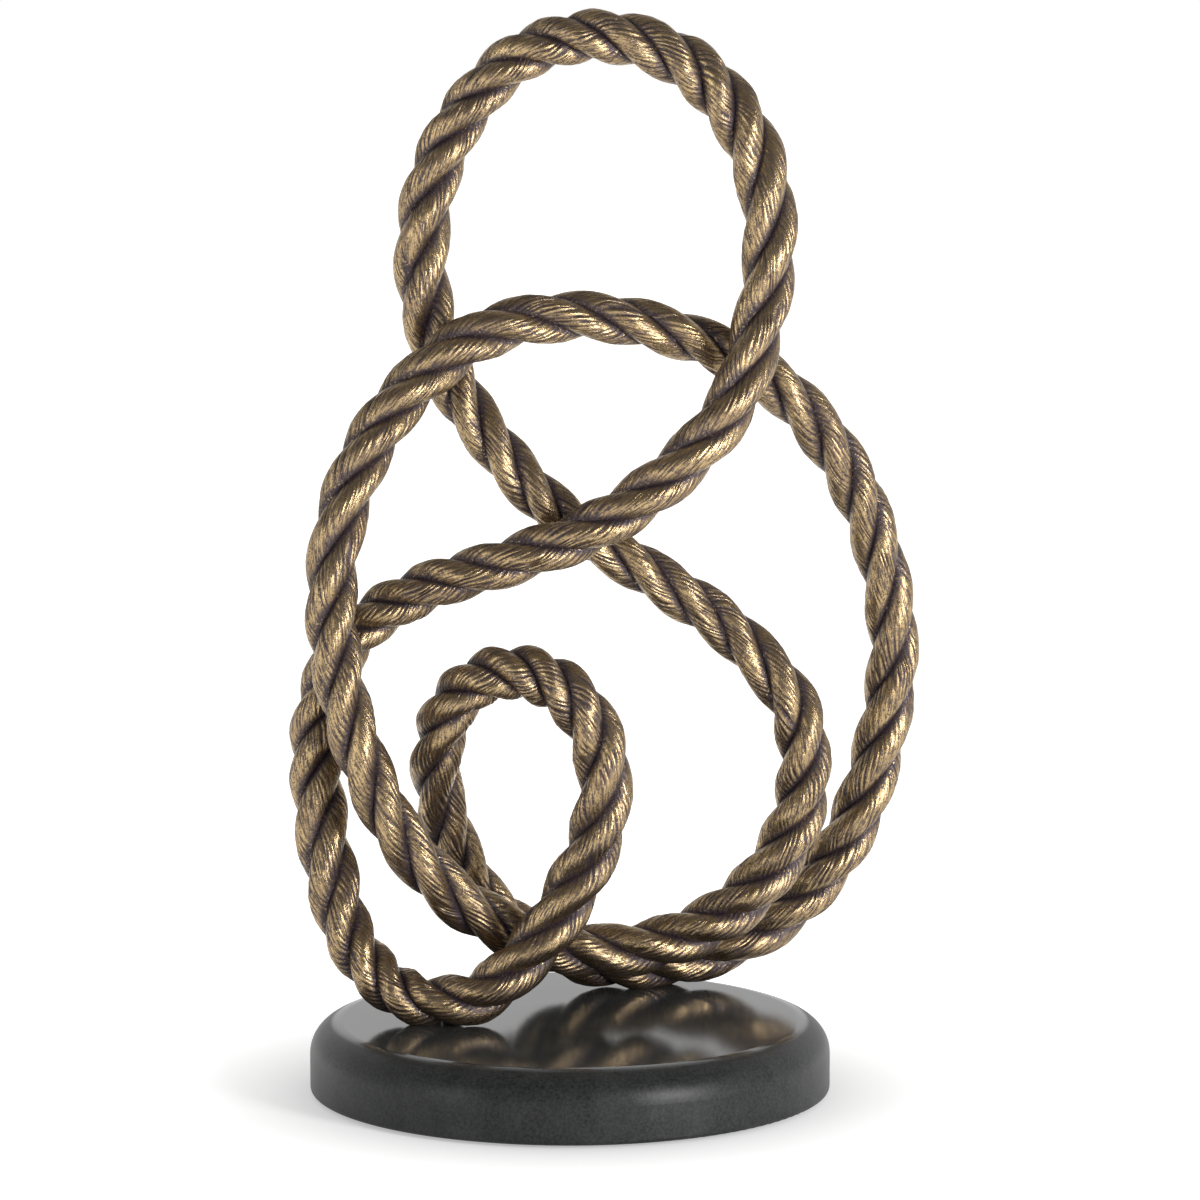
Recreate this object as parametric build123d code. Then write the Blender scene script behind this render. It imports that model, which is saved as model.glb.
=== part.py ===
"""A knot sculpture: a closed three-strand rope of cast metal, tied in an open knot, on a round stone base.

The rope is cast in seven lengths, because a closed knot can't leave a mould in one piece. The lengths
meet face to face behind the crossings, where they don't show, and a steel dowel aligns each meeting.
Two studs screwed into the underside of the rope pass through the stone, and nuts in recesses below
draw the rope down on it. A felt pad closes the recesses and is the face that the sculpture rests on.

Millimetres, +X to the right, +Y away from the viewer, +Z up. The origin is the middle of the underside.
"""

from build123d import *
import os
import numpy as np

# Stone base and felt
stone_diameter = 260.0
stone_thickness = 34.5
stone_top_round = 16.0
stone_foot_round = 2.0
felt_thickness = 1.5
felt_margin = 7.0

# Rope: the size of its centre line and the thickness of its section. The knot is as deep as its
# crossings need, so its depth follows the rope's radius.
knot_left = -127.0
knot_front = -20.0
knot_width = 292.0
knot_rise = 475.0
rope_radius = 14.2
knot_depth_share = 7.6
knot_depth = rope_radius * knot_depth_share
crease_radius_share = 0.66
seat_flat = 1.2
strand_count = 3
sections_per_strand = 4

# Dowels that align two lengths of rope
dowel_diameter = 8.0
dowel_length = 24.0
dowel_side_clearance = 0.1
dowel_end_clearance = 0.5
dowel_chamfer = 0.8

# Studs, washers and nuts that hold the rope on the stone
stud_diameter = 8.0
stud_depth_share = 1.12
stud_past_nut = 2.0
stud_chamfer = 0.8
thread_clearance = 0.1
stone_hole_clearance = 0.75
washer_hole_clearance = 0.2
washer_width = 7.8
washer_thickness = 2.0
nut_wall = 2.4
nut_thickness = 6.5
recess_side_clearance = 1.5
recess_spare_depth = 3.5
cut_overrun = 5.0

# The closed route of the rope, read off the photograph clockwise from the top: places across, away
# and up as shares of the centre line's width, depth and rise, the thickness as a share of the rope's
# radius, and how many strands have crossed the front of the rope up to there.
route_shares = [
    (0.493, 0.41, 1.000, 0.99, 0.0),
    (0.642, 0.42, 0.967, 1.04, 1.8),
    (0.744, 0.41, 0.887, 1.06, 3.65),
    (0.774, 0.37, 0.800, 1.04, 4.9),
    (0.759, 0.33, 0.710, 1.00, 6.15),
    (0.705, 0.23, 0.616, 0.99, 7.5),
    (0.597, 0.18, 0.543, 0.98, 8.9),
    (0.466, 0.18, 0.489, 0.96, 10.4),
    (0.324, 0.19, 0.455, 0.93, 11.85),
    (0.182, 0.25, 0.425, 0.93, 13.5),
    (0.063, 0.29, 0.374, 0.96, 15.35),
    (0.005, 0.31, 0.287, 1.00, 17.0),
    (0.005, 0.28, 0.200, 1.02, 18.6),
    (0.028, 0.21, 0.121, 1.02, 19.8),
    (0.066, 0.15, 0.053, 0.98, 21.05),
    (0.156, 0.07, 0.002, 0.98, 22.75),
    (0.277, 0.03, 0.003, 1.00, 24.2),
    (0.369, 0.04, 0.051, 1.03, 25.45),
    (0.442, 0.05, 0.119, 1.06, 26.65),
    (0.488, 0.02, 0.195, 1.06, 27.9),
    (0.483, 0.00, 0.273, 1.05, 29.05),
    (0.416, 0.01, 0.331, 1.03, 30.4),
    (0.354, 0.04, 0.345, 1.02, 31.5),
    (0.291, 0.09, 0.338, 1.00, 32.55),
    (0.234, 0.17, 0.306, 0.99, 33.75),
    (0.210, 0.28, 0.262, 0.98, 34.75),
    (0.221, 0.55, 0.162, 0.98, 36.3),
    (0.289, 0.70, 0.073, 0.99, 37.85),
    (0.437, 0.83, 0.011, 1.01, 39.8),
    (0.619, 0.94, 0.000, 1.02, 41.65),
    (0.788, 0.99, 0.040, 1.03, 43.2),
    (0.917, 1.00, 0.128, 1.03, 45.05),
    (0.979, 0.98, 0.237, 1.02, 46.7),
    (1.001, 0.94, 0.346, 0.99, 48.25),
    (0.970, 0.86, 0.456, 0.96, 49.75),
    (0.898, 0.74, 0.556, 0.97, 51.4),
    (0.776, 0.62, 0.640, 0.95, 53.05),
    (0.615, 0.49, 0.690, 0.93, 54.8),
    (0.452, 0.41, 0.709, 0.94, 56.35),
    (0.288, 0.30, 0.692, 0.97, 57.9),
    (0.161, 0.21, 0.632, 0.99, 59.45),
    (0.072, 0.11, 0.545, 0.99, 61.05),
    (0.035, 0.04, 0.447, 0.98, 62.45),
    (0.044, 0.02, 0.349, 0.96, 64.0),
    (0.084, 0.03, 0.255, 0.96, 65.5),
    (0.148, 0.09, 0.169, 0.97, 66.85),
    (0.253, 0.21, 0.094, 0.99, 68.2),
    (0.410, 0.37, 0.041, 1.01, 69.85),
    (0.584, 0.47, 0.039, 1.02, 71.55),
    (0.740, 0.52, 0.088, 1.04, 73.45),
    (0.831, 0.54, 0.183, 1.04, 75.3),
    (0.824, 0.54, 0.288, 0.99, 77.15),
    (0.725, 0.57, 0.365, 0.95, 78.6),
    (0.573, 0.50, 0.435, 0.93, 80.4),
    (0.428, 0.46, 0.493, 0.93, 81.95),
    (0.310, 0.49, 0.569, 0.93, 83.6),
    (0.228, 0.52, 0.647, 0.98, 85.05),
    (0.184, 0.51, 0.740, 1.04, 86.5),
    (0.195, 0.48, 0.835, 1.01, 87.9),
    (0.254, 0.46, 0.918, 0.97, 89.45),
    (0.368, 0.43, 0.984, 0.95, 91.3),
]
strands_round = 93

# The lengths of rope, each named for its place and given with the strand at which it starts. Every
# start lies behind another length, and each length runs to the start of the next.
rope_starts = [
    ("rope_small_loop", 15.95),
    ("rope_tail", 36.25),
    ("rope_outer_arc", 39.25),
    ("rope_left_bow", 54.0),
    ("rope_inner_arc", 69.6),
    ("rope_cross_link", 81.7),
    ("rope_top_bow", 85.3),
]

# The strands between which the rope comes down on the stone, in front and at the back
rope_seats = [("front", 21.0, 25.0), ("back", 39.8, 43.2)]

dowel_hole_radius = dowel_diameter / 2 + dowel_side_clearance
dowel_hole_depth = dowel_length / 2 + dowel_end_clearance
thread_radius = stud_diameter / 2 + thread_clearance
washer_hole_radius = stud_diameter / 2 + washer_hole_clearance
washer_radius = washer_hole_radius + washer_width
nut_inner_radius = thread_radius + nut_wall
recess_radius = washer_radius + recess_side_clearance

# Heights above the underside, from the top down
stone_top = felt_thickness + stone_thickness
seat_height = stone_top + rope_radius - seat_flat
stud_top = stone_top + rope_radius * stud_depth_share
recess_depth = recess_spare_depth + stud_past_nut + nut_thickness + washer_thickness
recess_top = felt_thickness + recess_depth
washer_bottom = recess_top - washer_thickness
nut_bottom = washer_bottom - nut_thickness
stud_bottom = nut_bottom - stud_past_nut


def route_rows():
    """The route in real sizes: x, y, z, radius and strand, one row for each point."""
    shares = np.array(route_shares)
    scale = np.array([knot_width, knot_depth, knot_rise, rope_radius, 1])
    start = np.array([knot_left, knot_front, seat_height, 0, 0])
    return start + shares * scale


def slopes(rows, gaps):
    """How fast each row's values change along the chords, averaged over the two chords beside it."""
    step = np.roll(rows, -1, axis=0) - rows
    step[-1] += one_lap
    rate = step / gaps[:, None]
    before, gap_before = np.roll(rate, 1, axis=0), np.roll(gaps, 1)
    weight = (gap_before / (gap_before + gaps))[:, None]
    return before * (1 - weight) + rate * weight


rows = route_rows()
one_lap = np.array([0, 0, 0, 0, strands_round])
place_step = 0.02
chords = np.linalg.norm(np.roll(rows[:, :3], -1, axis=0) - rows[:, :3], axis=1)
rates = slopes(rows, chords)


def route_at(place):
    """Values of the route at a place counted in points, as a smooth curve through the points."""
    i = int(place) % len(rows)
    j = (i + 1) % len(rows)
    t, gap = place % 1, chords[i]
    end = rows[j] + (one_lap if j == 0 else 0)
    return (
        rows[i] * (2 * t**3 - 3 * t**2 + 1)
        + rates[i] * gap * (t**3 - 2 * t**2 + t)
        + end * (3 * t**2 - 2 * t**3)
        + rates[j] * gap * (t**3 - t**2)
    )


places = np.arange(0, len(rows), place_step)
strand_at_places = np.array([route_at(place)[4] for place in places])
places = np.append(places, len(rows))
strand_at_places = np.append(strand_at_places, strands_round)


def rope_plane(strand):
    """The plane square to the rope at a strand, with its X axis at a crease, and the rope's radius there."""
    place = np.interp(strand % strands_round, strand_at_places, places)
    here = route_at(place)
    ahead = route_at(place + place_step)[:3] - route_at(place - place_step + len(rows))[:3]
    tangent = Vector(*ahead).normalized()
    to_front = Vector(0, -1, 0)
    front = (to_front - tangent * to_front.dot(tangent)).normalized()
    crease = front.rotate(Axis((0, 0, 0), tuple(tangent)), 360 / strand_count * strand)
    return Plane(origin=tuple(here[:3]), x_dir=crease, z_dir=tangent), here[3]


def rope_section(strand):
    """The rope cut square: three round strands that meet in creases."""
    plane, radius = rope_plane(strand)
    turn = 360 / strand_count
    arcs = []
    for i in range(strand_count):
        crease = Vector(radius * crease_radius_share, 0).rotate(Axis.Z, i * turn)
        crest = Vector(radius, 0).rotate(Axis.Z, (i + 0.5) * turn)
        next_crease = Vector(radius * crease_radius_share, 0).rotate(Axis.Z, (i + 1) * turn)
        arcs.append(ThreePointArc(crease, crest, next_crease))
    return plane * make_face(arcs)


def rope_between(first, last):
    """A length of rope from one strand to another."""
    count = int(np.ceil((last - first) * sections_per_strand))
    strands = np.linspace(first, last, count + 1)
    return loft([rope_section(strand) for strand in strands])


def round_bar(radius, length):
    """A round bar along +Z from the origin, also used to cut round holes."""
    return Cylinder(radius, length, align=(Align.CENTER, Align.CENTER, Align.MIN))


def pin(radius, length, edge):
    """A round bar with both ends chamfered."""
    bar = round_bar(radius, length)
    return chamfer(bar.edges(), edge)


def across_meeting(strand, half_length):
    """Where a bar starts that runs square through a meeting, half on each side of it."""
    plane = rope_plane(strand)[0]
    return Plane(plane.origin - plane.z_dir * half_length, x_dir=plane.x_dir, z_dir=plane.z_dir)


def dowel_hole(strand):
    """The dowel's hole on both sides of a meeting."""
    return across_meeting(strand, dowel_hole_depth) * round_bar(dowel_hole_radius, 2 * dowel_hole_depth)


def dowel(strand):
    """A steel dowel, half in each length of rope."""
    steel = pin(dowel_diameter / 2, dowel_length, dowel_chamfer)
    return across_meeting(strand, dowel_length / 2) * steel


def lowest_place(first, last):
    """Where the rope's centre line is lowest between two strands: its X and Y."""
    points = [rope_plane(strand)[0].origin for strand in np.linspace(first, last, 200)]
    lowest = min(points, key=lambda point: point.Z)
    return lowest.X, lowest.Y


def stone_base(seats):
    """The stone disc, rounded above and below, with a stepped hole for each stud."""
    disc = Pos(0, 0, felt_thickness) * round_bar(stone_diameter / 2, stone_thickness)
    disc = fillet(disc.edges().sort_by(Axis.Z)[-1], stone_top_round)
    disc = fillet(disc.edges().sort_by(Axis.Z)[0], stone_foot_round)
    hole = round_bar(stud_diameter / 2 + stone_hole_clearance, stone_top + cut_overrun)
    recess = round_bar(recess_radius, recess_top)
    for x, y in seats:
        disc -= Pos(x, y, 0) * (hole + recess)
    return disc


def washer():
    """A wide flat washer, standing on the origin."""
    return round_bar(washer_radius, washer_thickness) - round_bar(washer_hole_radius, washer_thickness)


def nut():
    """A hexagon nut, standing on the origin."""
    hexagon = RegularPolygon(nut_inner_radius, 6, major_radius=False)
    return extrude(hexagon, nut_thickness) - round_bar(thread_radius, nut_thickness)


def rope_length(start, end, seats):
    """A length of rope, drilled for its dowels, ground flat on the stone and tapped for the studs."""
    piece = rope_between(start, end) - dowel_hole(start) - dowel_hole(end)
    if piece.bounding_box().min.Z < stone_top:
        piece -= round_bar(stone_diameter / 2, stone_top)
        for x, y in seats:
            piece -= Pos(x, y, 0) * round_bar(thread_radius, stud_top + thread_clearance)
    return piece


seats = {name: lowest_place(first, last) for name, first, last in rope_seats}
starts = [start for _, start in rope_starts]
ends = starts[1:] + [starts[0] + strands_round]

parts = {
    "felt_pad": round_bar(stone_diameter / 2 - felt_margin, felt_thickness),
    "stone_base": stone_base(seats.values()),
}
for (name, start), end in zip(rope_starts, ends):
    parts[name] = rope_length(start, end, seats.values())
for number, start in enumerate(starts, 1):
    parts[f"dowel_{number}"] = dowel(start)
for name, (x, y) in seats.items():
    stud = pin(stud_diameter / 2, stud_top - stud_bottom, stud_chamfer)
    parts[f"{name}_stud"] = Pos(x, y, stud_bottom) * stud
    parts[f"{name}_washer"] = Pos(x, y, washer_bottom) * washer()
    parts[f"{name}_nut"] = Pos(x, y, nut_bottom) * nut()

os.makedirs("parts", exist_ok=True)
for name, shape in parts.items():
    export_step(shape, f"parts/{name}.step")
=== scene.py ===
"""A knot sculpture: a closed three-strand rope of cast metal, tied in an open knot on a round stone base.

The sections follow the making of the real piece: where it is seen from, the rope castings, the stone
they stand on, the steel inside, the felt underneath and the studio round it. Lengths are metres unless a
name says mm, and the rope's route and skin are worked out in millimetres.
"""

import math

import bpy
import numpy as np
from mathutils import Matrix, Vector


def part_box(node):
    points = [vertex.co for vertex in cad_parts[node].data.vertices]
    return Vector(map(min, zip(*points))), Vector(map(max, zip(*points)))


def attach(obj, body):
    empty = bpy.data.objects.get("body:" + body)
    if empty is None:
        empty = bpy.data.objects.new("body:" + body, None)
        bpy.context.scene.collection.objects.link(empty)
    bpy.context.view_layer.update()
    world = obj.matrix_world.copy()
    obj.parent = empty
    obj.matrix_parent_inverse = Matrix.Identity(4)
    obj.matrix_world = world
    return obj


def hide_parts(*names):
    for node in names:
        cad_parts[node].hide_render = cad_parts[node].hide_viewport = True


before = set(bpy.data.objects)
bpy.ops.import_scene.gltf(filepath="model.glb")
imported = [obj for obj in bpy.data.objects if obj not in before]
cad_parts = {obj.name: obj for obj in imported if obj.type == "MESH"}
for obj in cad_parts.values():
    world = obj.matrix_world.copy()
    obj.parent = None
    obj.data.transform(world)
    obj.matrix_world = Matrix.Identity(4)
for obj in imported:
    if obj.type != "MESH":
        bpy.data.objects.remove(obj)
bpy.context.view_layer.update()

# The place that the photograph was taken from: 2.4 m in front of the base and 12 degrees above its
# top, through a long lens that looks 7 degrees down, so that the knot fills the picture's height.
mm = 0.001
stone_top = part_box("stone_base")[1][2]
camera_distance = 2.4
camera_elevation = math.radians(12)
camera_pitch = math.radians(7.0)
camera_right = 15 * mm
lens_mm, sensor_mm = 143.3, 36
camera = bpy.data.objects.new("camera", bpy.data.cameras.new("camera"))
bpy.context.collection.objects.link(camera)
camera.data.sensor_width = sensor_mm
camera.data.lens = lens_mm
camera.location = (
    camera_right,
    -camera_distance * math.cos(camera_elevation),
    stone_top + camera_distance * math.sin(camera_elevation),
)
camera.rotation_euler = (math.pi / 2 - camera_pitch, 0, 0)
bpy.context.scene.camera = camera
bpy.context.scene.view_settings.view_transform = "Standard"

# The rope castings: aluminium, sand cast in seven lengths from a pattern made with real three-strand
# rope, so that every strand shows its yarns as ridges that cross it nearly along the rope. The lengths
# meet over steel dowels, and where the rope stands on the stone it is ground flat.
rope_radius_mm = 14.2
ground_off_mm = 1.2
strands_round = 93
knot_depth_radii = 7.6
knot_start_mm = np.array([-127.0, -20.0, stone_top / mm + rope_radius_mm - ground_off_mm])
knot_size_mm = np.array([292.0, rope_radius_mm * knot_depth_radii, 475.0])

# The closed route, in the same shares as the solids have it: places across, away and up as shares of
# the knot's width, depth and rise, the thickness as a share of the rope's radius, and how many strands
# have crossed the front of the rope up to there
route_shares = np.array([
    (0.493, 0.41, 1.000, 0.99, 0.0),
    (0.642, 0.42, 0.967, 1.04, 1.8),
    (0.744, 0.41, 0.887, 1.06, 3.65),
    (0.774, 0.37, 0.800, 1.04, 4.9),
    (0.759, 0.33, 0.710, 1.00, 6.15),
    (0.705, 0.23, 0.616, 0.99, 7.5),
    (0.597, 0.18, 0.543, 0.98, 8.9),
    (0.466, 0.18, 0.489, 0.96, 10.4),
    (0.324, 0.19, 0.455, 0.93, 11.85),
    (0.182, 0.25, 0.425, 0.93, 13.5),
    (0.063, 0.29, 0.374, 0.96, 15.35),
    (0.005, 0.31, 0.287, 1.00, 17.0),
    (0.005, 0.28, 0.200, 1.02, 18.6),
    (0.028, 0.21, 0.121, 1.02, 19.8),
    (0.066, 0.15, 0.053, 0.98, 21.05),
    (0.156, 0.07, 0.002, 0.98, 22.75),
    (0.277, 0.03, 0.003, 1.00, 24.2),
    (0.369, 0.04, 0.051, 1.03, 25.45),
    (0.442, 0.05, 0.119, 1.06, 26.65),
    (0.488, 0.02, 0.195, 1.06, 27.9),
    (0.483, 0.00, 0.273, 1.05, 29.05),
    (0.416, 0.01, 0.331, 1.03, 30.4),
    (0.354, 0.04, 0.345, 1.02, 31.5),
    (0.291, 0.09, 0.338, 1.00, 32.55),
    (0.234, 0.17, 0.306, 0.99, 33.75),
    (0.210, 0.28, 0.262, 0.98, 34.75),
    (0.221, 0.55, 0.162, 0.98, 36.3),
    (0.289, 0.70, 0.073, 0.99, 37.85),
    (0.437, 0.83, 0.011, 1.01, 39.8),
    (0.619, 0.94, 0.000, 1.02, 41.65),
    (0.788, 0.99, 0.040, 1.03, 43.2),
    (0.917, 1.00, 0.128, 1.03, 45.05),
    (0.979, 0.98, 0.237, 1.02, 46.7),
    (1.001, 0.94, 0.346, 0.99, 48.25),
    (0.970, 0.86, 0.456, 0.96, 49.75),
    (0.898, 0.74, 0.556, 0.97, 51.4),
    (0.776, 0.62, 0.640, 0.95, 53.05),
    (0.615, 0.49, 0.690, 0.93, 54.8),
    (0.452, 0.41, 0.709, 0.94, 56.35),
    (0.288, 0.30, 0.692, 0.97, 57.9),
    (0.161, 0.21, 0.632, 0.99, 59.45),
    (0.072, 0.11, 0.545, 0.99, 61.05),
    (0.035, 0.04, 0.447, 0.98, 62.45),
    (0.044, 0.02, 0.349, 0.96, 64.0),
    (0.084, 0.03, 0.255, 0.96, 65.5),
    (0.148, 0.09, 0.169, 0.97, 66.85),
    (0.253, 0.21, 0.094, 0.99, 68.2),
    (0.410, 0.37, 0.041, 1.01, 69.85),
    (0.584, 0.47, 0.039, 1.02, 71.55),
    (0.740, 0.52, 0.088, 1.04, 73.45),
    (0.831, 0.54, 0.183, 1.04, 75.3),
    (0.824, 0.54, 0.288, 0.99, 77.15),
    (0.725, 0.57, 0.365, 0.95, 78.6),
    (0.573, 0.50, 0.435, 0.93, 80.4),
    (0.428, 0.46, 0.493, 0.93, 81.95),
    (0.310, 0.49, 0.569, 0.93, 83.6),
    (0.228, 0.52, 0.647, 0.98, 85.05),
    (0.184, 0.51, 0.740, 1.04, 86.5),
    (0.195, 0.48, 0.835, 1.01, 87.9),
    (0.254, 0.46, 0.918, 0.97, 89.45),
    (0.368, 0.43, 0.984, 0.95, 91.3),
])

# Each row in real millimetres, with the row that the closed route returns to
route_rows = route_shares * np.append(knot_size_mm, [rope_radius_mm, 1])
route_rows[:, :3] += knot_start_mm
one_lap = np.array([0, 0, 0, 0, strands_round])
next_rows = np.roll(route_rows, -1, axis=0)
next_rows[-1] += one_lap
chords = np.linalg.norm((next_rows - route_rows)[:, :3], axis=1)
rates = (next_rows - route_rows) / chords[:, None]
weights = (np.roll(chords, 1) / (np.roll(chords, 1) + chords))[:, None]
slopes = np.roll(rates, 1, axis=0) * (1 - weights) + rates * weights


def route_at(places):
    """Rows of x, y, z, radius and strand at places counted in points: a cubic through each two points
    that meets both at the average of the slopes beside them."""
    laps, places = np.divmod(places, len(route_rows))
    i = places.astype(int)
    t = (places - i)[:, None]
    gap = chords[i][:, None]
    return (
        route_rows[i] * (2 * t**3 - 3 * t**2 + 1)
        + slopes[i] * gap * (t**3 - 2 * t**2 + t)
        + next_rows[i] * (3 * t**2 - 2 * t**3)
        + slopes[(i + 1) % len(chords)] * gap * (t**3 - t**2)
        + laps[:, None] * one_lap
    )


# Two laps of the route at places a fiftieth of a point apart, with the length up to each, and the
# rope's own frame there: its centre, radius, direction, front and side
fine_step = 0.02
fine_places = np.arange(0, 2 * len(route_rows), fine_step)
fine_route = route_at(fine_places)
fine_steps = np.linalg.norm(np.diff(fine_route[:, :3], axis=0), axis=1)
fine_lengths = np.append(0, np.cumsum(fine_steps))
lap_length = np.interp(len(route_rows), fine_places, fine_lengths)
fine_ahead = np.gradient(fine_route[:, :3], axis=0)
fine_ahead /= np.linalg.norm(fine_ahead, axis=1)[:, None]
fine_fronts = np.array([0, -1.0, 0]) + fine_ahead * fine_ahead[:, 1:2]
fine_fronts /= np.linalg.norm(fine_fronts, axis=1)[:, None]
fine_frame = np.concatenate([
    fine_route[:, :4], fine_ahead, fine_fronts, np.cross(fine_ahead, fine_fronts), fine_lengths[:, None]
], axis=1)


def rope_frame(strand):
    """Centre, radius, direction, front, side and length along the rope, at strands counted along it."""
    columns = [np.interp(strand, fine_route[:, 4], column) for column in fine_frame.T]
    centre, ahead, front, side = (np.stack(columns[i:i + 3], axis=-1) for i in (0, 4, 7, 10))
    return centre, columns[3], ahead, front, side, columns[13]


# The skin's mesh: lines of points that follow the yarns, closer together beside the creases, and told
# apart to a millionth of a strand
lay_turn = 2 * math.pi / 3
crossing_strands = 0.8
crossing_lean = 0.12
lines_per_strand = 80
points_across = 17
crease_crowding = 0.06
table_rows = 4001
told_apart = 1_000_000


def crossing(share):
    """Strands along the rope from a yarn's start to a share of its way across its strand. A yarn follows
    the crease a little more closely at both sides of its strand than on the crest."""
    return crossing_strands * share - crossing_lean * np.sin(2 * math.pi * share) / (2 * math.pi)


def strand_skin(first_strand, last_strand):
    """The three strands' skin as lines of points that follow the yarns from crease to crease, cut off at
    the casting's ends. Gives each point's strand, its place across the strand and its line, and the
    faces between the lines, with the points that neighbours share counted once."""
    first, last = round(first_strand * lines_per_strand), round(last_strand * lines_per_strand)
    lines_across = round(crossing_strands * lines_per_strand)
    lines = np.arange(first, last + lines_across + 1)[None, :, None]
    u = np.linspace(0, 1, points_across + 1)
    shares = (u - crease_crowding * np.sin(2 * math.pi * u))[None, None, :]
    band = np.arange(3)[:, None, None]
    strand = np.clip(lines / lines_per_strand - crossing(shares), first_strand, last_strand)
    table = np.linspace(0, 1, table_rows)
    share = np.interp(lines / lines_per_strand - strand, crossing(table), table)
    strand, share, band, lines = np.broadcast_arrays(strand, share, band, lines)

    keys = np.stack([strand, (strand + band + share) % 3], axis=-1).reshape(-1, 2)
    keys = np.round(keys * told_apart).astype(np.int64)
    keys[:, 1] %= 3 * told_apart
    _, kept, point = np.unique(keys, axis=0, return_index=True, return_inverse=True)
    point = point.reshape(strand.shape)
    low, high = point[:, :-1], point[:, 1:]
    faces = np.stack([low[..., :-1], low[..., 1:], high[..., 1:], high[..., :-1]], axis=-1).reshape(-1, 4)
    same = faces == np.roll(faces, -1, axis=1)
    quads = faces[~same.any(axis=1)]
    folded = same.sum(axis=1) == 1
    corners = [face[~gone] for face, gone in zip(faces[folded], same[folded])]
    at = [values.ravel()[kept] for values in (strand, share, band, lines)]
    return at, quads.tolist() + [list(map(int, corner)) for corner in corners]


def rolling_height(across, along, cells_across, cells_along, seed):
    """A height from -1 to 1 that rolls smoothly between random heights at whole numbers, and repeats
    after the given cells both ways, so that it has no seam round the rope or along the lap."""
    heights = np.random.default_rng(seed).uniform(-1, 1, (cells_across, cells_along))
    i, j = np.floor(across).astype(int), np.floor(along).astype(int)
    s, t = across - i, along - j
    s, t = s * s * (3 - 2 * s), t * t * (3 - 2 * t)
    i0, i1 = i % cells_across, (i + 1) % cells_across
    j0, j1 = j % cells_along, (j + 1) % cells_along
    low = heights[i0, j0] * (1 - s) + heights[i1, j0] * s
    high = heights[i0, j1] * (1 - s) + heights[i1, j1] * s
    return low * (1 - t) + high * t


# The skin's form: how deep each mark sinks and how far it reaches. The strands read the yarns' patterns
# 341 yarns apart, so that no two are alike.
crease_share = 0.66
crease_cut_mm, crease_cut_reach_mm, crease_cut_change = 0.5, 0.9, 0.5
yarns_per_strand, yarns_between_strands = 12, 341
yarn_height_mm, yarn_fade_mm = 0.75, 0.8
wander_mm, lump_mm = 0.3, 0.45
# The dark band along each crease is patina and, further out, painted shade for the shade in the deep
# creases: its reach on each side, its change, and how much further it reaches between yarns.
patina_and_shade_first_side_mm, patina_and_shade_last_side_mm, patina_and_shade_change = 7.0, 5.0, 0.45
patina_and_shade_on_yarn, patina_and_shade_in_groove = 0.6, 0.9

# How much of a yarn's height is left, as its mean, its change and the least, for single yarns and for
# worn places about 10 mm long
yarn_left, worn_left = (0.75, 0.7, 0.15), (0.95, 0.9, 0.3)

# The uneven patterns: how far a yarn strays, the cells' width in yarns or their count in a strand, and
# the pairs of cells, across and along, after which a pattern repeats
stray_yarns, stray_width_yarns, stray_cells = 0.8, 1.6, (787, 150)
height_width_yarns, height_cells = 1.7, (602, 170)
wander_cells = (3, 120)
lumps_across, lumps_a_lap = 5, 520
worn_a_strand, worn_across, worn_columns = 3, 5, 8
cuts_a_strand = 6
patina_and_shade_a_strand, patina_and_shade_across = 5, 4


def height_left(mean, change, least, rolling):
    """The share of its height that rubbing leaves a yarn: the mean and the change times a rolling height,
    at least the least and at most 1."""
    return np.clip(mean + change * rolling, least, 1)


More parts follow.
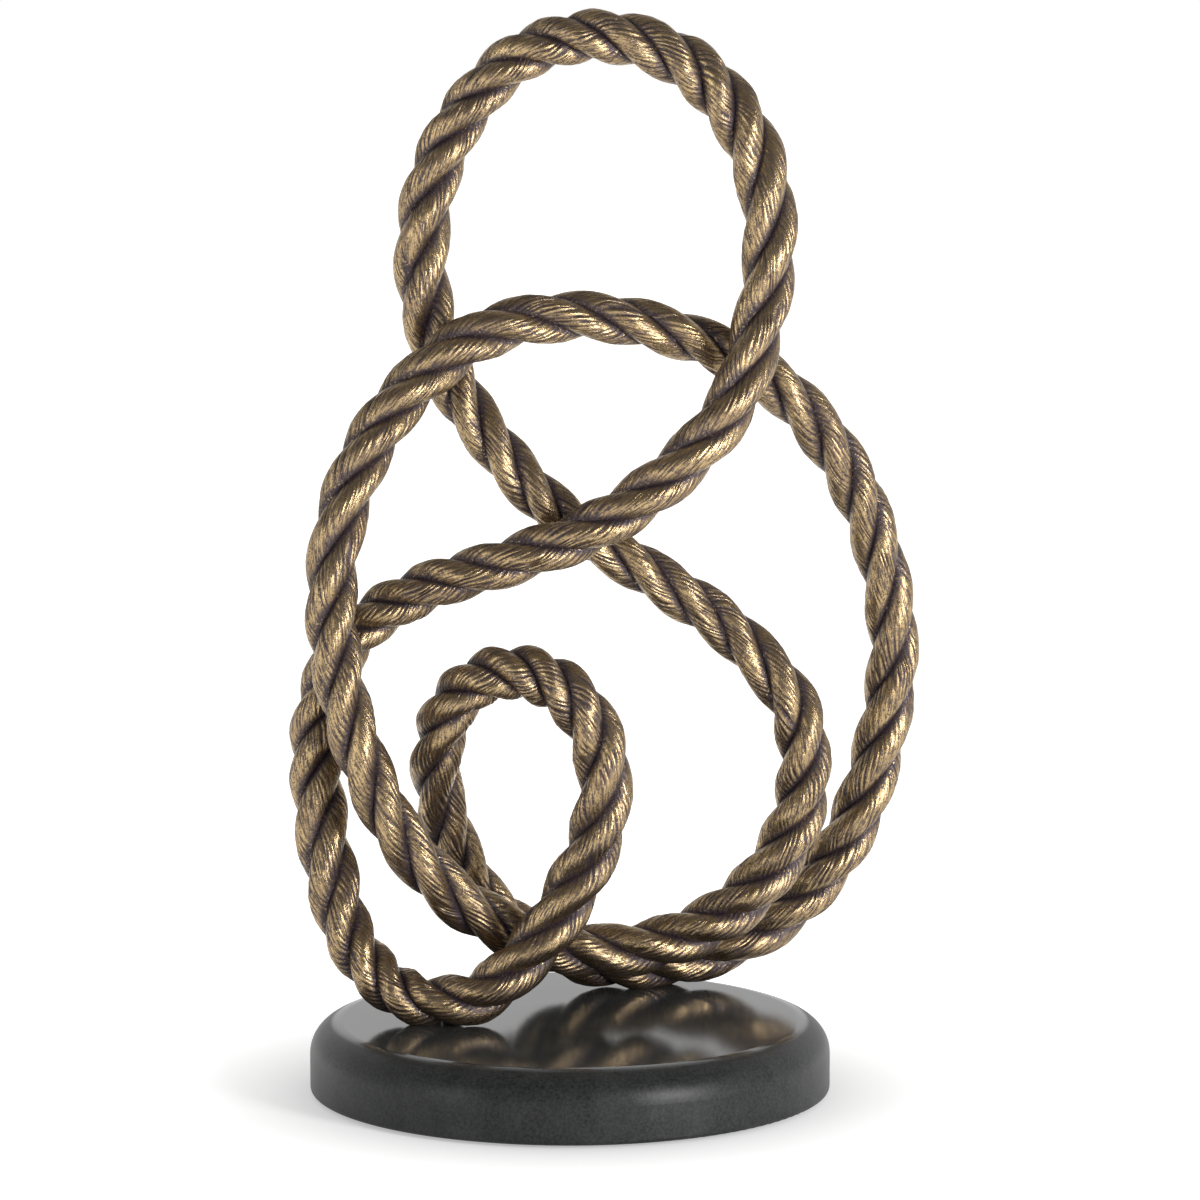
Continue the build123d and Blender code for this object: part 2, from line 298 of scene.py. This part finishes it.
def rope_points(strand, share, band, line):
    """Points of the skin. The section is three arcs that meet in creases; yarns, lumps and a cut along
    each crease sink from it along the radius. Also gives the wear of each point, which holds the patina and
    painted shade at the creases, and its lay."""
    centre, radius, _, front, side, along = rope_frame(strand)
    across = share - 0.5
    strands_turned = strand + band + share
    turn = lay_turn * strands_turned
    crest_turn = lay_turn * across
    arc_middle = (1 - crease_share**2) / (2 - crease_share)
    profile = arc_middle * np.cos(crest_turn) + np.sqrt(
        (1 - arc_middle) ** 2 - (arc_middle * np.sin(crest_turn)) ** 2
    )
    from_crease = (0.5 - np.abs(across)) * lay_turn * radius
    away = np.cos(math.pi * across) ** 2
    lap = along / lap_length

    # Yarns of uneven width, some hardly raised, with a groove between each two
    yarn = line / lines_per_strand * yarns_per_strand + band * yarns_between_strands
    stray = rolling_height(yarn / stray_width_yarns, lap * stray_cells[1], *stray_cells, seed=14)
    yarn = yarn + stray_yarns * stray
    change = rolling_height(yarn / height_width_yarns, lap * height_cells[1], *height_cells, seed=15)
    raised = height_left(*yarn_left, change)
    change = rolling_height(
        strand * worn_a_strand + band * strands_round, share * worn_across,
        strands_round * worn_a_strand, worn_columns, seed=16,
    )
    raised = raised * height_left(*worn_left, change)
    valley = 1 - np.abs(np.sin(math.pi * yarn))
    groove = valley * raised * np.clip(from_crease / yarn_fade_mm, 0, 1)

    # Each strand lies a little deeper or higher along the lap, has lumps, and is cut along its creases
    wander = rolling_height(band + 0 * lap, lap * wander_cells[1], *wander_cells, seed=11) * away
    lumps = away * rolling_height(
        strands_turned * lumps_across, lap * lumps_a_lap, 3 * lumps_across, lumps_a_lap, seed=12
    )
    change = rolling_height(
        strand * cuts_a_strand, strands_turned, strands_round * cuts_a_strand, 3, seed=13
    )
    cut = np.exp(-((from_crease / crease_cut_reach_mm) ** 2)) * (1 + crease_cut_change * change)
    sunk = crease_cut_mm * cut + yarn_height_mm * groove
    sunk = sunk + wander_mm * (1 - wander) / 2 + lump_mm * (1 - lumps) / 2
    out = (radius * profile - sunk)[:, None]
    points = centre + out * (np.cos(turn)[:, None] * front + np.sin(turn)[:, None] * side)

    # Patina fills each crease unevenly, and reaches further out between two yarns than over one; the band
    # runs wider than the patina, as painted shade in and beside the crease
    change = rolling_height(
        strand * patina_and_shade_a_strand, strands_turned * patina_and_shade_across,
        strands_round * patina_and_shade_a_strand, 3 * patina_and_shade_across, seed=17,
    )
    patina_and_shade_reach = np.where(across < 0, patina_and_shade_first_side_mm, patina_and_shade_last_side_mm) * (1 + patina_and_shade_change * change)
    patina_and_shade_reach = patina_and_shade_reach * (patina_and_shade_on_yarn + patina_and_shade_in_groove * valley * raised)
    crease_patina_and_shade = np.exp(-((from_crease / patina_and_shade_reach) ** 2))
    wear_and_crease_shade = np.stack([crease_patina_and_shade, groove, away], axis=-1)
    lay = np.stack([rope_radius_mm * np.cos(turn), rope_radius_mm * np.sin(turn), along], axis=-1)
    return points, wear_and_crease_shade, lay


dowel_hole_radius_mm, dowel_hole_depth_mm = 4.1, 12.5
sharpest_smooth_edge = math.radians(60)


def rope_casting(name, first_strand, last_strand):
    """The skin of a casting, closed at each end by a flat face with the dowel's blind hole in it: rings
    of points at the rim, the hole's mouth and its floor, with one point in the floor's middle."""
    (strand, share, band, line), faces = strand_skin(first_strand, last_strand)
    points, wear_and_crease_shade, lay = rope_points(strand, share, band, line)
    blocks, count = [points], len(points)
    for end_strand, into in ((first_strand, 1), (last_strand, -1)):
        rim = np.flatnonzero(np.abs(strand - end_strand) < 1 / told_apart)
        turn = (strand + band + share)[rim] % 3
        rim = rim[np.argsort(turn)][::into]
        turn = lay_turn * np.sort(turn)[::into, None]
        centre, _, ahead, front, side, _ = rope_frame(np.array([end_strand]))
        mouth = centre + dowel_hole_radius_mm * (np.cos(turn) * front + np.sin(turn) * side)
        inward = into * dowel_hole_depth_mm * ahead
        blocks += [mouth, mouth + inward, centre + inward]
        size = len(rim)
        j = np.arange(size)
        k = (j + 1) % size
        mouth_row, floor_row, pole = count, count + size, count + 2 * size
        for low, high in ((mouth_row + j, rim[j]), (floor_row + j, mouth_row + j)):
            faces += np.stack([low, low[k], high[k], high], axis=-1).tolist()
        faces += np.stack([0 * j + pole, floor_row + k, floor_row + j], axis=-1).tolist()
        count += 2 * size + 1
    vertices = np.concatenate(blocks)
    vertices[:, 2] = np.maximum(vertices[:, 2], stone_top / mm)

    mesh = bpy.data.meshes.new(name)
    mesh.from_pydata(vertices * mm, [], faces)
    mesh.shade_smooth()
    mesh.set_sharp_from_angle(angle=sharpest_smooth_edge)
    for attribute, value in (("wear_and_crease_shade", wear_and_crease_shade), ("lay", lay)):
        padded = np.zeros((len(vertices), 3), np.float32)
        padded[:len(value)] = value
        mesh.attributes.new(attribute, "FLOAT_VECTOR", "POINT").data.foreach_set("vector", padded.ravel())
    casting = bpy.data.objects.new(name, mesh)
    bpy.context.collection.objects.link(casting)
    return casting


def colour(code):
    """Linear red, green, blue and 1 for a sRGB hex value."""
    levels = np.array([int(code[i : i + 2], 16) for i in (1, 3, 5)]) / 255
    linear = np.where(levels <= 0.04045, levels / 12.92, ((levels + 0.055) / 1.055) ** 2.4)
    return (*linear.tolist(), 1)


def add_node(tree, kind, settings=None, **sockets):
    """A node of that kind with its settings, and each named socket linked or set. Numbered sockets are
    written i0, i1 and so on."""
    node = tree.nodes.new(kind)
    for key, value in (settings or {}).items():
        setattr(node, key, value)
    for key, value in sockets.items():
        socket = node.inputs[int(key[1:])] if key[1:].isdigit() else node.inputs[key.replace("_", " ")]
        if isinstance(value, bpy.types.NodeSocket):
            tree.links.new(value, socket)
        else:
            socket.default_value = value
    return node


def new_finish(name):
    """A material of that name, with its tree of nodes and its shader."""
    material = bpy.data.materials.new(name)
    material.use_nodes = True
    return material, material.node_tree, material.node_tree.nodes["Principled BSDF"]


# The finish: its colours, and the sizes of its hair lines, specks and blotches. The specks are the marks
# of sand grains of 0.3 mm, and lie in clusters of up to 1.3 mm, so that they show.
# The dark patina colour also paints the shade in and beside the creases
rubbed_brass, stained_brass, dark_patina_and_shade = "#b79e74", "#867058", "#3f3439"
hair_spacing_mm, hair_length_mm = 0.7143, 7.937
speck_spacing_mm = 1.282
blotch_spacing_mm = 14.29
pit_depth = 0.3 * mm
hairs_in_groove, specks_in_crease, hairs_in_relief = 0.8, 2.0, 1.2
rubbed_roughness, patina_roughness = 0.2, 0.45
rubbed_metallic, patina_metallic = 1.0, 0.4
multiply, multiply_add, highest = ({"operation": name} for name in ("MULTIPLY", "MULTIPLY_ADD", "MAXIMUM"))
two_colours = {"data_type": "RGBA"}


def antique_brass():
    """Cast metal with an antique brass finish: plated, dipped in a dark patina and rubbed back by hand.
    The rubbed crests are satin and warm; creases, grooves and pits keep the patina, which is duller, and
    the dark band at each crease also paints the shade that falls there."""
    material, tree, shader = new_finish("antique_brass_on_cast_metal")
    wear_and_crease_shade = add_node(tree, "ShaderNodeAttribute", {"attribute_name": "wear_and_crease_shade"}).outputs["Vector"]
    crease_patina_and_shade, groove, _ = add_node(tree, "ShaderNodeSeparateXYZ", Vector=wear_and_crease_shade).outputs
    lay = add_node(tree, "ShaderNodeAttribute", {"attribute_name": "lay"}).outputs["Vector"]
    place = add_node(tree, "ShaderNodeTexCoord").outputs["Object"]
    drawn_out = (1, 1, hair_spacing_mm / hair_length_mm)
    lay = add_node(tree, "ShaderNodeVectorMath", multiply, i0=lay, i1=drawn_out).outputs[0]
    hairs, specks, blotches = (
        add_node(tree, "ShaderNodeTexNoise", Vector=spot, Scale=scale, Detail=detail, Roughness=fineness)
        .outputs["Fac"]
        for spot, scale, detail, fineness in (
            (lay, 1 / hair_spacing_mm, 3.0, 0.7),
            (place, 1 / (speck_spacing_mm * mm), 3.0, 0.7),
            (place, 1 / (blotch_spacing_mm * mm), 4.0, 0.65),
        )
    )

    # Where the dark patina stays: in grooves, creases, hair lines and pits, each with the level where it
    # starts, the level where it is full and how dark it gets there. At the creases the dark is patina and
    # painted shade.
    hairy_groove = add_node(tree, "ShaderNodeMath", multiply_add, i0=hairs, i1=hairs_in_groove, i2=groove)
    specked_crease = add_node(
        tree, "ShaderNodeMath", multiply_add, i0=specks, i1=specks_in_crease, i2=crease_patina_and_shade
    )
    dark = 0.0
    for level, start, full, darkest in (
        (hairy_groove.outputs[0], 0.66, 1.05, 1.0),
        (specked_crease.outputs[0], 1.2, 1.65, 1.0),
        (hairs, 0.51, 0.44, 0.9),
        (specks, 0.45, 0.39, 0.8),
    ):
        stays = add_node(
            tree, "ShaderNodeMapRange", Value=level, From_Min=start, From_Max=full, To_Max=darkest
        ).outputs[0]
        dark = add_node(tree, "ShaderNodeMath", highest, i0=dark, i1=stays).outputs[0]

    # Rubbing bares the highest specks again, and blotches keep a thin brown stain
    bare = add_node(
        tree, "ShaderNodeMapRange", Value=specks, From_Min=0.57, From_Max=0.63, To_Min=1.0, To_Max=0.3
    ).outputs[0]
    dark = add_node(tree, "ShaderNodeMath", multiply, i0=dark, i1=bare).outputs[0]
    stain = add_node(
        tree, "ShaderNodeMapRange", Value=blotches, From_Min=0.35, From_Max=0.7, To_Max=0.6
    ).outputs[0]
    worn = add_node(
        tree, "ShaderNodeMix", two_colours, i0=stain, i6=colour(rubbed_brass), i7=colour(stained_brass)
    ).outputs[2]
    tint = add_node(tree, "ShaderNodeMix", two_colours, i0=dark, i6=worn, i7=colour(dark_patina_and_shade)).outputs[2]

    # The patina is a crust on the metal, so it is less metallic and duller
    metal = add_node(
        tree, "ShaderNodeMapRange",
        Value=dark, From_Min=0.3, From_Max=1.0, To_Min=rubbed_metallic, To_Max=patina_metallic,
    ).outputs[0]
    dull = add_node(tree, "ShaderNodeMath", highest, i0=dark, i1=stain).outputs[0]
    rough = add_node(
        tree, "ShaderNodeMapRange", Value=dull, To_Min=rubbed_roughness, To_Max=patina_roughness
    ).outputs[0]
    relief = add_node(tree, "ShaderNodeMath", multiply_add, i0=hairs, i1=hairs_in_relief, i2=specks)
    bump = add_node(
        tree, "ShaderNodeBump", Strength=0.5, Distance=pit_depth, Height=relief.outputs[0]
    ).outputs[0]
    tree.links.new(tint, shader.inputs["Base Color"])
    tree.links.new(metal, shader.inputs["Metallic"])
    tree.links.new(rough, shader.inputs["Roughness"])
    tree.links.new(bump, shader.inputs["Normal"])
    return material


# Where each casting starts, in strands counted along the rope; it ends where the next one starts
brass_finish = antique_brass()
rope_starts = [
    ("rope_small_loop", 15.95),
    ("rope_tail", 36.25),
    ("rope_outer_arc", 39.25),
    ("rope_left_bow", 54.0),
    ("rope_inner_arc", 69.6),
    ("rope_cross_link", 81.7),
    ("rope_top_bow", 85.3),
]
starts = [start for _, start in rope_starts]
ends = starts[1:] + [starts[0] + strands_round]
for (node, start), end in zip(rope_starts, ends):
    casting = rope_casting(f"{node}_casting", start, end)
    casting.data.materials.append(brass_finish)
    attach(casting, "root")
    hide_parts(node)


# The base: a disc of black granite, honed on its side and rounded shoulder and satin polished on its
# flat top, so the top mirrors the rope softly and the side only holds a soft sheen.
# The last colour is a painted reflection haze for the polished top
granite_dark, granite_light, painted_reflection_haze = "#060707", "#343535", "#303131"
grain_spacing_mm = 1.4286
cloud_spacing_mm = 16.67
clouds_in_grains = 0.5
grain_depth = 0.2 * mm
polish_starts, polish_full = stone_top - 1.2 * mm, stone_top - 0.2 * mm
honed_roughness, polished_roughness = 0.42, 0.1


def black_granite():
    """Black granite with grains from 1.4 mm down to a few tenths. The satin polish of the flat top
    mirrors, and a painted reflection haze, a lighter grey added to the top's colour, lies over it thinly."""
    material, tree, shader = new_finish("honed_black_granite")
    place = add_node(tree, "ShaderNodeTexCoord").outputs["Object"]
    height = add_node(tree, "ShaderNodeSeparateXYZ", Vector=place).outputs["Z"]
    top = add_node(
        tree, "ShaderNodeMapRange", Value=height, From_Min=polish_starts, From_Max=polish_full
    ).outputs[0]
    grains, clouds = (
        add_node(tree, "ShaderNodeTexNoise", Vector=place, Scale=scale, Detail=detail, Roughness=fineness)
        .outputs["Fac"]
        for scale, detail, fineness in (
            (1 / (grain_spacing_mm * mm), 3.0, 0.75),
            (1 / (cloud_spacing_mm * mm), 4.0, 0.6),
        )
    )
    mixed = add_node(tree, "ShaderNodeMath", multiply_add, i0=clouds, i1=clouds_in_grains, i2=grains)
    light_grain = add_node(
        tree, "ShaderNodeMapRange", Value=mixed.outputs[0], From_Min=0.55, From_Max=0.95
    ).outputs[0]
    tint = add_node(
        tree, "ShaderNodeMix", two_colours,
        i0=light_grain, i6=colour(granite_dark), i7=colour(granite_light),
    ).outputs[2]
    # A painted reflection haze: a lighter grey added to the colour of the flat top only
    tint_with_painted_haze = add_node(
        tree, "ShaderNodeMix", {"data_type": "RGBA", "blend_type": "ADD"},
        i0=top, i6=tint, i7=colour(painted_reflection_haze),
    ).outputs[2]
    rough = add_node(
        tree, "ShaderNodeMapRange", Value=top, To_Min=honed_roughness, To_Max=polished_roughness
    ).outputs[0]
    bump = add_node(tree, "ShaderNodeBump", Strength=0.12, Distance=grain_depth, Height=grains).outputs[0]
    tree.links.new(tint_with_painted_haze, shader.inputs["Base Color"])
    tree.links.new(rough, shader.inputs["Roughness"])
    tree.links.new(bump, shader.inputs["Normal"])
    shader.inputs["Specular IOR Level"].default_value = 0.32
    return material


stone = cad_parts["stone_base"]
stone.data.materials.clear()
stone.data.materials.append(black_granite())


# The steel inside: ground dowels in the meetings of the rope, and zinc plated washers and nuts on
# blackened studs that draw it down on the stone. None of it shows unless the sculpture is taken apart.
def plain_steel(name, tone, roughness, mark_spacing_mm):
    """Steel with fine turning marks, seen as a slight change of roughness."""
    material, tree, shader = new_finish(name)
    place = add_node(tree, "ShaderNodeTexCoord").outputs["Object"]
    marks = add_node(
        tree, "ShaderNodeTexNoise", Vector=place, Scale=1 / (mark_spacing_mm * mm), Detail=2.0
    ).outputs["Fac"]
    rough = add_node(
        tree, "ShaderNodeMapRange", Value=marks, To_Min=roughness * 0.7, To_Max=roughness * 1.3
    ).outputs[0]
    shader.inputs["Base Color"].default_value = colour(tone)
    shader.inputs["Metallic"].default_value = 1.0
    tree.links.new(rough, shader.inputs["Roughness"])
    return material


ground_steel = plain_steel("ground_steel", "#b4b4b6", roughness=0.25, mark_spacing_mm=1.111)
zinc_plate = plain_steel("zinc_plated_steel", "#c2c4c0", roughness=0.35, mark_spacing_mm=2.0)
black_oxide = plain_steel("blackened_steel", "#2c2b2b", roughness=0.45, mark_spacing_mm=2.0)
steel_of = {"dowel": ground_steel, "stud": black_oxide, "washer": zinc_plate, "nut": zinc_plate}
for node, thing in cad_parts.items():
    for word, steel in steel_of.items():
        if word in node.split("_"):
            thing.data.materials.clear()
            thing.data.materials.append(steel)


# The felt pad: a disc cut from 1.5 mm black wool felt and glued under the stone over the nuts. Its cut
# edge is soft, and its face has a short nap.
felt_dark, felt_light = "#141414", "#2e2e2e"
fibre_spacing_mm = 0.7143
nap_height = 0.4 * mm
edge_rows, face_rings, points_round = 9, 24, 180
innermost_ring, outermost_ring = 0.02, 0.98


def felt_disc():
    """A disc from its profile turned round the Z axis: flat below, round at the cut edge, flat above."""
    low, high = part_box("felt_pad")
    radius, thickness = high[0], high[2] - low[2]
    bend = np.linspace(-math.pi / 2, math.pi / 2, edge_rows)
    edge_out = radius - thickness / 2 + np.cos(bend) * thickness / 2
    edge_up = low[2] + thickness / 2 + np.sin(bend) * thickness / 2
    spread = np.linspace(innermost_ring, outermost_ring, face_rings) * (radius - thickness / 2)
    out = np.concatenate([spread, edge_out, spread[::-1]])
    up = np.concatenate([0 * spread + low[2], edge_up, 0 * spread + high[2]])
    turn = np.linspace(0, 2 * math.pi, points_round, endpoint=False)
    points = np.stack(np.broadcast_arrays(
        out[:, None] * np.cos(turn), out[:, None] * np.sin(turn), up[:, None] + 0 * turn
    ), axis=-1)
    rows, size = points.shape[:2]
    vertices = np.concatenate([points.reshape(-1, 3), [(0, 0, low[2]), (0, 0, high[2])]])
    j = np.arange(size)
    k = (j + 1) % size
    i = np.arange(rows - 1)[:, None] * size
    walls = np.stack([i + j, i + k, i + k + size, i + j + size], axis=-1).reshape(-1, 4)
    below = np.stack([k, j, 0 * j + rows * size], axis=-1)
    above = np.stack([(rows - 1) * size + j, (rows - 1) * size + k, 0 * j + rows * size + 1], axis=-1)
    mesh = bpy.data.meshes.new("felt_sheet")
    mesh.from_pydata(vertices, [], walls.tolist() + below.tolist() + above.tolist())
    mesh.shade_smooth()
    felt = bpy.data.objects.new("felt_sheet", mesh)
    bpy.context.collection.objects.link(felt)
    return felt


def black_felt():
    """Pressed wool: matte, with a tangle of fibres that catches light at the edges. Real fibres are far
    finer, and are drawn as coarse as they need to be to show."""
    material, tree, shader = new_finish("black_wool_felt")
    place = add_node(tree, "ShaderNodeTexCoord").outputs["Object"]
    fibres = add_node(
        tree, "ShaderNodeTexNoise",
        Vector=place, Scale=1 / (fibre_spacing_mm * mm), Detail=4.0, Roughness=0.75,
    ).outputs["Fac"]
    tint = add_node(
        tree, "ShaderNodeMix", two_colours, i0=fibres, i6=colour(felt_dark), i7=colour(felt_light)
    ).outputs[2]
    bump = add_node(tree, "ShaderNodeBump", Strength=0.6, Distance=nap_height, Height=fibres).outputs[0]
    tree.links.new(tint, shader.inputs["Base Color"])
    tree.links.new(bump, shader.inputs["Normal"])
    shader.inputs["Roughness"].default_value = 0.95
    shader.inputs["Sheen Weight"].default_value = 0.4
    return material


felt = felt_disc()
felt.data.materials.append(black_felt())
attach(felt, "root")
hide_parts("felt_pad")

# The studio: a white floor that keeps the sculpture's shadow, a white surround that darkens overhead, a
# large soft light on the right in front and a weaker one on the left, as the rope's highlights show.
floor_reach = 40
floor_white = "#e0e0e0"
floor_corners = [(-1, -1, 0), (1, -1, 0), (1, 1, 0), (-1, 1, 0)]
floor_mesh = bpy.data.meshes.new("floor")
floor_mesh.from_pydata(np.array(floor_corners) * floor_reach, [], [(0, 1, 2, 3)])
floor = bpy.data.objects.new("floor", floor_mesh)
bpy.context.collection.objects.link(floor)
white_floor, tree, shader = new_finish("white_floor")
shader.inputs["Base Color"].default_value = colour(floor_white)
shader.inputs["Roughness"].default_value = 0.9
shader.inputs["Specular IOR Level"].default_value = 0.0
shader.inputs["Emission Color"].default_value = (1, 1, 1, 1)

# The floor is seen white by its glow, which is turned down close to the stone: a painted shadow round
# the base, over the shadow that the lamps cast there
light_path = add_node(tree, "ShaderNodeLightPath")
seen = 0.0
for ray in ("Is Camera Ray", "Is Glossy Ray", "Is Transmission Ray"):
    seen = add_node(tree, "ShaderNodeMath", highest, i0=seen, i1=light_path.outputs[ray]).outputs[0]
place = add_node(tree, "ShaderNodeTexCoord").outputs["Object"]
from_middle = add_node(tree, "ShaderNodeVectorMath", {"operation": "LENGTH"}, i0=place).outputs["Value"]
# The glow is lower near the stone, which paints a darker ring of shadow round the base
glow_with_painted_shadow = add_node(
    tree, "ShaderNodeMapRange", Value=from_middle, From_Min=0.12, From_Max=0.27, To_Min=0.38, To_Max=1.0
).outputs[0]
glow_with_painted_shadow = add_node(tree, "ShaderNodeMath", multiply, i0=glow_with_painted_shadow, i1=seen).outputs[0]
tree.links.new(glow_with_painted_shadow, shader.inputs["Emission Strength"])
floor.data.materials.append(white_floor)

# The surround is white behind the sculpture, and dims towards the camera and overhead
world = bpy.data.worlds.new("white_surround")
bpy.context.scene.world = world
world.use_nodes = True
tree = world.node_tree
tree.nodes.clear()
direction = add_node(tree, "ShaderNodeTexCoord").outputs["Generated"]
_, behind, rise = add_node(tree, "ShaderNodeSeparateXYZ", Vector=direction).outputs
softly = {"interpolation_type": "SMOOTHSTEP"}
low = add_node(
    tree, "ShaderNodeMapRange", softly, Value=rise, From_Min=0.3, From_Max=0.8, To_Min=1.0, To_Max=0.5
).outputs[0]
back = add_node(
    tree, "ShaderNodeMapRange", softly, Value=behind, From_Min=-0.4, From_Max=0.5, To_Min=0.37, To_Max=1.0
).outputs[0]
light = add_node(tree, "ShaderNodeMath", multiply, i0=low, i1=back).outputs[0]
background = add_node(tree, "ShaderNodeBackground", Color=light).outputs[0]
add_node(tree, "ShaderNodeOutputWorld", Surface=background)
knot_middle = np.array([0.0, 0.0, 0.28])


def soft_light(name, place, width, height, watts):
    """A rectangular soft light that faces the knot's middle: tipped up from straight down by the angle to
    it, and turned to its bearing."""
    lamp = bpy.data.objects.new(name, bpy.data.lights.new(name, "AREA"))
    lamp.data.shape = "RECTANGLE"
    lamp.data.size, lamp.data.size_y = width, height
    lamp.data.energy = watts
    bpy.context.collection.objects.link(lamp)
    x, y, z = knot_middle - np.array(place)
    lamp.location = place
    lamp.rotation_euler = (math.atan2(math.hypot(x, y), -z), 0, math.atan2(y, x) - math.pi / 2)


soft_light("key_light", place=(1.4, -1.4, 0.5), width=0.45, height=1.0, watts=32)
soft_light("fill_light", place=(-1.6, -1.2, 0.5), width=0.5, height=1.0, watts=5)
